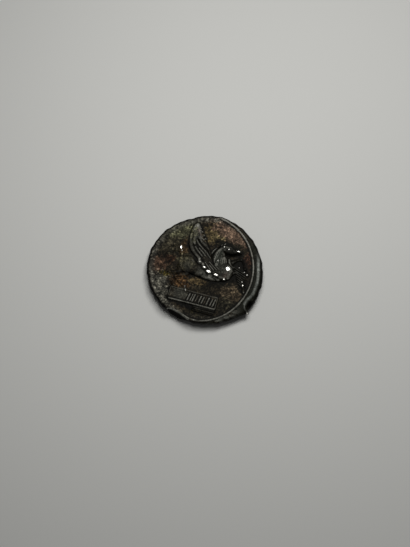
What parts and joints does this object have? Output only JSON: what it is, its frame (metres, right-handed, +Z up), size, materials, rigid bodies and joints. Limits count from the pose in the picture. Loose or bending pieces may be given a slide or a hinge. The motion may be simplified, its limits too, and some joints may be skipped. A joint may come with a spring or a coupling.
{
  "type": "denarius coin",
  "caption": "Ancient struck silver coin: a winged horse over a framed tablet inside a line border, and a wreathed head inside a beaded border.",
  "frame": {"origin": "middle of the coin's outline, in the plane it rests on", "axes": "+Z up out of the winged horse's face, +X to the right of that design, +Y to its top; the coin lies on the wreathed head"},
  "size_m": [0.0186, 0.018, 0.0025],
  "materials": {
    "toned_silver": "dark toned silver with worn bright high points"
  },
  "bodies": {
    "root": {"coin": "toned_silver"}
  },
  "joints": []
}
